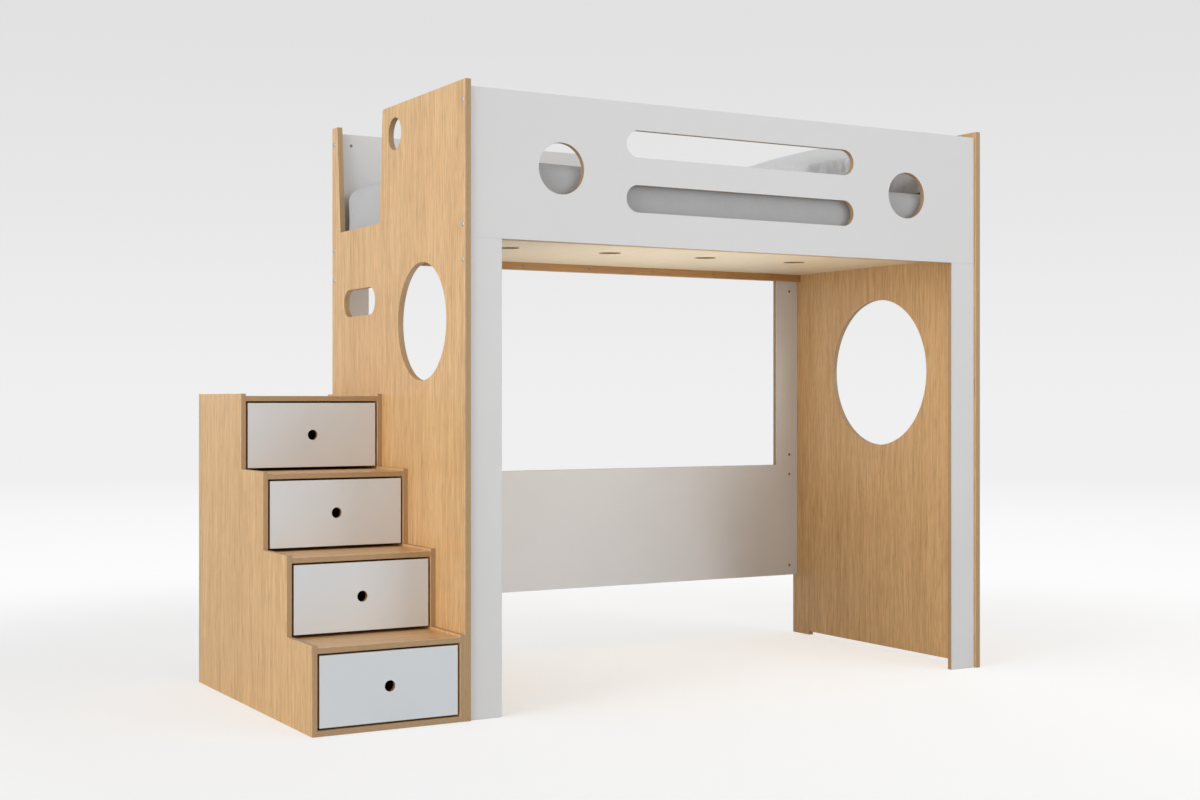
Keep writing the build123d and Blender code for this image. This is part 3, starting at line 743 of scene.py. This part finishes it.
cord_radius = 0.0026
cord = bpy.data.curves.new("pillow_cord", "CURVE")
cord.dimensions = "3D"
cord.bevel_depth = cord_radius
cord.bevel_resolution = 2
line = cord.splines.new("NURBS")
line.points.add(len(seam) - 1)
for knot, p in zip(line.points, seam):
    knot.co = (*settle(p), 1)
line.use_cyclic_u = True
line.order_u = 3
line.resolution_u = 3
cord_curve = in_scene("pillow_cord_curve", cord)
cord_mesh = final_mesh(cord_curve)
bpy.data.objects.remove(cord_curve)
cord_mesh.name = "pillow_cord"
cord_mesh.materials.clear()
cord_mesh.materials.append(pillow_cloth)
cord_mesh.polygons.foreach_set("use_smooth", [True] * len(cord_mesh.polygons))
lay_cloth(cord_mesh)
pillow_cord = in_scene("pillow_cord", cord_mesh)
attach(pillow_cord, "bed")

# Fastenings: domed zinc cap bolts with six-sided sockets in the end panels' outer faces,
# darker barrel nuts in the boards' inner faces, and the stair's joining bolts and sleeves.
bolt_zinc = metal("bolt_zinc", (0.66, 0.69, 0.74, 1), 0.34, (400, 400, 400))
nut_zinc = metal("nut_zinc", (0.26, 0.26, 0.28, 1), 0.42, (400, 400, 400))
spokes = 24


def turned_head(name, profile, socket_width, socket_depth):
    """A round head along Z: rings of radius and height, with a six-sided socket on top."""
    shape = bmesh.new()

    def ring(radius, height, six=False):
        verts = []
        for i in range(spokes):
            a = full_turn * i / spokes
            r = radius
            if six:
                r = radius / math.cos(a % (full_turn / 6) - full_turn / 12)
            verts.append(shape.verts.new((r * math.cos(a), r * math.sin(a), height)))
        return verts

    top = profile[0][1]
    rings = [ring(socket_width, top - socket_depth, True), ring(socket_width, top, True)]
    rings += [ring(radius, height) for radius, height in profile]
    for inner, outer in zip(rings, rings[1:]):
        for i in range(spokes):
            k = (i + 1) % spokes
            shape.faces.new((inner[i], outer[i], outer[k], inner[k]))
    shape.faces.new(rings[0])
    shape.faces.new(rings[-1][::-1])
    bmesh.ops.recalc_face_normals(shape, faces=shape.faces)
    mesh = bpy.data.meshes.new(name)
    shape.to_mesh(mesh)
    shape.free()
    return in_scene(name, mesh)


def fitting_tree():
    """Geometry nodes that set one head on each point, facing out, each turned by chance."""
    tree = bpy.data.node_groups.new("set_fittings", "GeometryNodeTree")
    sockets = {}
    for label, kind in (("Geometry", "NodeSocketGeometry"), ("Head", "NodeSocketObject"),
                        ("Size", "NodeSocketFloat"), ("Seed", "NodeSocketInt"),
                        ("Material", "NodeSocketMaterial")):
        item = tree.interface.new_socket(label, in_out="INPUT", socket_type=kind)
        sockets[label] = item.identifier
    tree.interface.new_socket("Geometry", in_out="OUTPUT", socket_type="NodeSocketGeometry")
    given = tree.nodes.new("NodeGroupInput").outputs
    head = place(tree, "GeometryNodeObjectInfo", {"Object": given["Head"]}).outputs["Geometry"]
    facing = place(tree, "GeometryNodeInputNamedAttribute", {"Name": "facing"},
                   data_type="FLOAT_VECTOR").outputs[0]
    aim = place(tree, "FunctionNodeAlignRotationToVector", {"Vector": facing}, axis="Z").outputs[0]
    spin = place(tree, "FunctionNodeRandomValue", {"Seed": given["Seed"]}, data_type="FLOAT")
    spin.inputs[3].default_value = full_turn
    twist = place(tree, "FunctionNodeAxisAngleToRotation", {"Angle": spin.outputs[1]}).outputs[0]
    turn = place(tree, "FunctionNodeRotateRotation", {0: aim, 1: twist},
                 rotation_space="LOCAL").outputs[0]
    set_down = place(tree, "GeometryNodeInstanceOnPoints", {
        "Points": given["Geometry"], "Instance": head, "Rotation": turn,
        "Scale": given["Size"]}).outputs[0]
    real = place(tree, "GeometryNodeRealizeInstances", {0: set_down}).outputs[0]
    dressed = place(tree, "GeometryNodeSetMaterial", {0: real, "Material": given["Material"]})
    place(tree, "NodeGroupOutput", {0: dressed.outputs[0]})
    return tree, sockets


fittings, fitting_sockets = fitting_tree()


def set_fittings(name, head, points, material, seed, size=1.0):
    """One mesh of like fittings. Each point is a place and the way that its head faces."""
    seats = bpy.data.meshes.new(name)
    seats.from_pydata([p for p, way in points], [], [])
    ways = seats.attributes.new("facing", "FLOAT_VECTOR", "POINT")
    for row, (p, way) in zip(ways.data, points):
        row.vector = way
    piece = in_scene(name, seats)
    maker = piece.modifiers.new("fittings", "NODES")
    maker.node_group = fittings
    maker[fitting_sockets["Head"]] = head
    maker[fitting_sockets["Size"]] = size
    maker[fitting_sockets["Seed"]] = seed
    maker[fitting_sockets["Material"]] = material
    made = final_mesh(piece)
    piece.modifiers.remove(maker)
    piece.data = made
    made.name = name
    made.polygons.foreach_set("use_smooth", [False] * len(made.polygons))
    return piece


left_x, right_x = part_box("left_end_panel")[0].x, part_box("right_end_panel")[1].x
left_inner_x, right_inner_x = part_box("left_end_panel")[1].x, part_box("right_end_panel")[0].x
rail_low, rail_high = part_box("front_guard_rail")
rear_low, rear_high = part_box("rear_guard_board")
lower_low, lower_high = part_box("rear_lower_board")
front_mid_y, rear_mid_y = (rail_low.y + rail_high.y) / 2, (rear_low.y + rear_high.y) / 2
from_edge = 0.0375
foot_bolt_height = 0.120
over_board = 0.039
under_rail = {left_x: 0.064, right_x: 0.039}
guard_rows = [rail_low.z + from_edge, rail_high.z - from_edge]
lower_rows = [lower_low.z + from_edge, lower_high.z - from_edge]
bolt_spots = []
for x, drop in under_rail.items():
    front_rows = guard_rows + [foot_bolt_height, rail_low.z - drop]
    rear_rows = guard_rows + lower_rows + [lower_high.z + over_board, rail_low.z - drop]
    bolt_spots += [(x, front_mid_y, z) for z in front_rows]
    bolt_spots += [(x, rear_mid_y, z) for z in rear_rows]
cap_profile = [(0.0037, 0.0011), (0.0050, 0.0010), (0.0061, 0.0006), (0.0068, 0.0),
               (0.0070, -0.0008), (0.0070, -0.0040)]
cap_socket = (0.0026, 0.0024)
cap_head = turned_head("cap_head", cap_profile, *cap_socket)
end_bolts = set_fittings("end_panel_cap_bolts", cap_head,
                         [(p, (-1 if p[0] < 0 else 1, 0, 0)) for p in bolt_spots], bolt_zinc,
                         seed=3)
bpy.data.objects.remove(cap_head)
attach(end_bolts, "bed")
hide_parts("end_panel_bolts")

nut_profile = [(0.0030, -0.0004), (0.0044, -0.0004), (0.0049, -0.0009), (0.0050, -0.0125)]
nut_socket = (0.0017, 0.0015)
nut_head = turned_head("nut_head", nut_profile, *nut_socket)
nut_reach = 0.038
nut_spots = []
for x, y, z in bolt_spots:
    nut_x = left_inner_x + nut_reach if x < 0 else right_inner_x - nut_reach
    inner_y = rail_high.y if y < 0 else rear_low.y
    nut_spots.append(((nut_x, inner_y, z), (0, 1 if y < 0 else -1, 0)))
nuts = set_fittings("board_barrel_nuts", nut_head, nut_spots, nut_zinc, seed=5)
bpy.data.objects.remove(nut_head)
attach(nuts, "bed")
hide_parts("barrel_nuts")
finish(bolt_zinc, "stair_joining_bolts", "stair_sleeve_nuts")

# Wood screws: low zinc heads in a row along each ledger, and three in each drawer runner's web.
# They stand for no solid, so they replace no node.
screw_profile = [(0.0026, 0.0009), (0.0034, 0.0008), (0.0039, 0.0003), (0.0040, -0.0006)]
screw_socket = (0.0016, 0.0014)
screw_head = turned_head("screw_head", screw_profile, *screw_socket)
screws_per_ledger = 7
runner_screw_shares = (0.12, 0.5, 0.88)
ledger_screws = []
for name, way in (("front_ledger", 1), ("rear_ledger", -1)):
    low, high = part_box(name)
    face_y = high.y if way == 1 else low.y
    for i in range(screws_per_ledger):
        x = low.x + (high.x - low.x) * (i + 0.5) / screws_per_ledger
        ledger_screws.append(((x, face_y, (low.z + high.z) / 2), (0, way, 0)))
screws = set_fittings("ledger_screws", screw_head, ledger_screws, nut_zinc, seed=7)
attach(screws, "bed")
web_depth = 0.0095
for k in drawers:
    low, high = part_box(f"drawer_{k}_runners")
    spots = []
    for share in runner_screw_shares:
        y, z = low.y + (high.y - low.y) * share, (low.z + high.z) / 2
        spots += [((low.x + web_depth, y, z), (-1, 0, 0)), ((high.x - web_depth, y, z), (1, 0, 0))]
    screws = set_fittings(f"runner_screws_{k}", screw_head, spots, nut_zinc, seed=10 + k)
    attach(screws, f"drawer_{k}")
bpy.data.objects.remove(screw_head)
